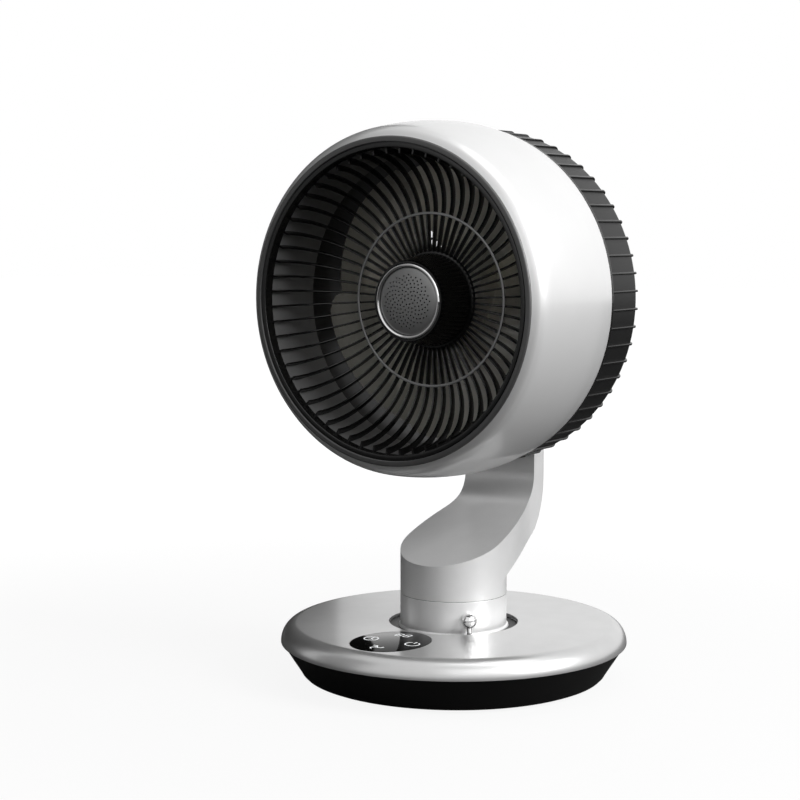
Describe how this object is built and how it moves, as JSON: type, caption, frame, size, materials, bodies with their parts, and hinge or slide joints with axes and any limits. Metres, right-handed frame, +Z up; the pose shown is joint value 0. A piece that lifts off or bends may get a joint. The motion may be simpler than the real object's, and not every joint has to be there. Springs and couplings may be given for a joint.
{
  "type": "air circulator fan",
  "caption": "Round-headed desktop air circulator with bell-shaped ribbed grilles on a swinging S-shaped arm over a weighted disc base with a touch panel.",
  "frame": {"origin": "on the floor under the middle of the round base", "axes": "+Z up, the fan blows along -Y, +X is to the right of someone who stands behind the fan and looks along the blow"},
  "size_m": [0.26, 0.26, 0.4136],
  "materials": {
    "pearl": "pearl white lacquer",
    "silver": "silver metallic lacquer",
    "black": "semi-gloss black",
    "satin_black": "satin black",
    "gunmetal": "dark grey metallic",
    "duct_grey": "satin grey",
    "chrome": "mirror chrome",
    "steel": "zinc plated",
    "cast_iron": "as cast",
    "smoke": "smoky translucent",
    "rubber": "matt",
    "glass": "high gloss black",
    "board": "solder mask green",
    "nylon": "natural"
  },
  "bodies": {
    "base": {"base_pan": "satin_black", "base_lid": "silver", "ballast_ring": "cast_iron", "foot_1": "rubber", "foot_2": "rubber", "foot_3": "rubber", "foot_4": "rubber", "foot_5": "rubber", "lid_screw_1": "steel", "lid_screw_2": "steel", "lid_screw_3": "steel", "lid_screw_4": "steel", "collar_screw_1": "steel", "collar_screw_2": "steel", "collar_screw_3": "steel", "control_panel": "glass", "control_board": "board", "power_board": "board", "power_inlet": "black", "neck_collar": "silver", "slide_ring": "nylon", "swing_motor": "steel", "pin_bush": "steel", "swing_switch": "black"},
    "pin": {"ball_pin": "chrome"},
    "pinion": {"swing_pinion": "nylon"},
    "column": {"swing_gear": "nylon", "swing_spindle": "nylon", "swing_arm": "silver", "arm_cover": "silver", "cover_screw_1": "steel", "cover_screw_2": "steel", "tilt_pin": "steel", "friction_washer_left": "nylon", "friction_washer_right": "nylon", "pivot_cap_left": "chrome", "pivot_cap_right": "chrome"},
    "head": {"head_shell": "pearl", "bezel_ring": "gunmetal", "duct_ring": "duct_grey", "shroud_ring": "black", "front_grille": "black", "grille_trim_ring": "gunmetal", "hub_barrel": "black", "hub_ring": "chrome", "hub_cap": "gunmetal", "fan_motor": "steel", "rear_grille": "black", "motor_cover": "satin_black", "motor_screw_1": "steel", "motor_screw_2": "steel", "motor_screw_3": "steel", "motor_screw_4": "steel"},
    "impeller": {"impeller": "smoke", "motor_shaft": "steel", "spinner_nut": "black"}
  },
  "joints": [
    {"name": "swing", "type": "hinge", "parent": "base", "child": "column", "pos_m": [0, 0, 0.063], "axis": [0, 0, 1], "range_deg": [-45, 45]},
    {"name": "pinion_turn", "type": "hinge", "parent": "base", "child": "pinion", "pos_m": [0, 0.05, 0.03], "axis": [0, 0, 1], "range_deg": [-180, 180]},
    {"name": "tilt", "type": "hinge", "parent": "column", "child": "head", "pos_m": [0, 0.0752, 0.284], "axis": [-1, 0, 0], "range_deg": [0, 90]},
    {"name": "spin", "type": "hinge", "parent": "head", "child": "impeller", "pos_m": [0, 0, 0.284], "axis": [0, 1, 0], "continuous": true},
    {"name": "pin_push", "type": "slide", "parent": "base", "child": "pin", "axis": [0, 0, 1], "range_m": [-0.004, 0]}
  ],
  "couplings": [
    {"joint": "pinion_turn", "follows": "swing", "ratio": -4}
  ]
}
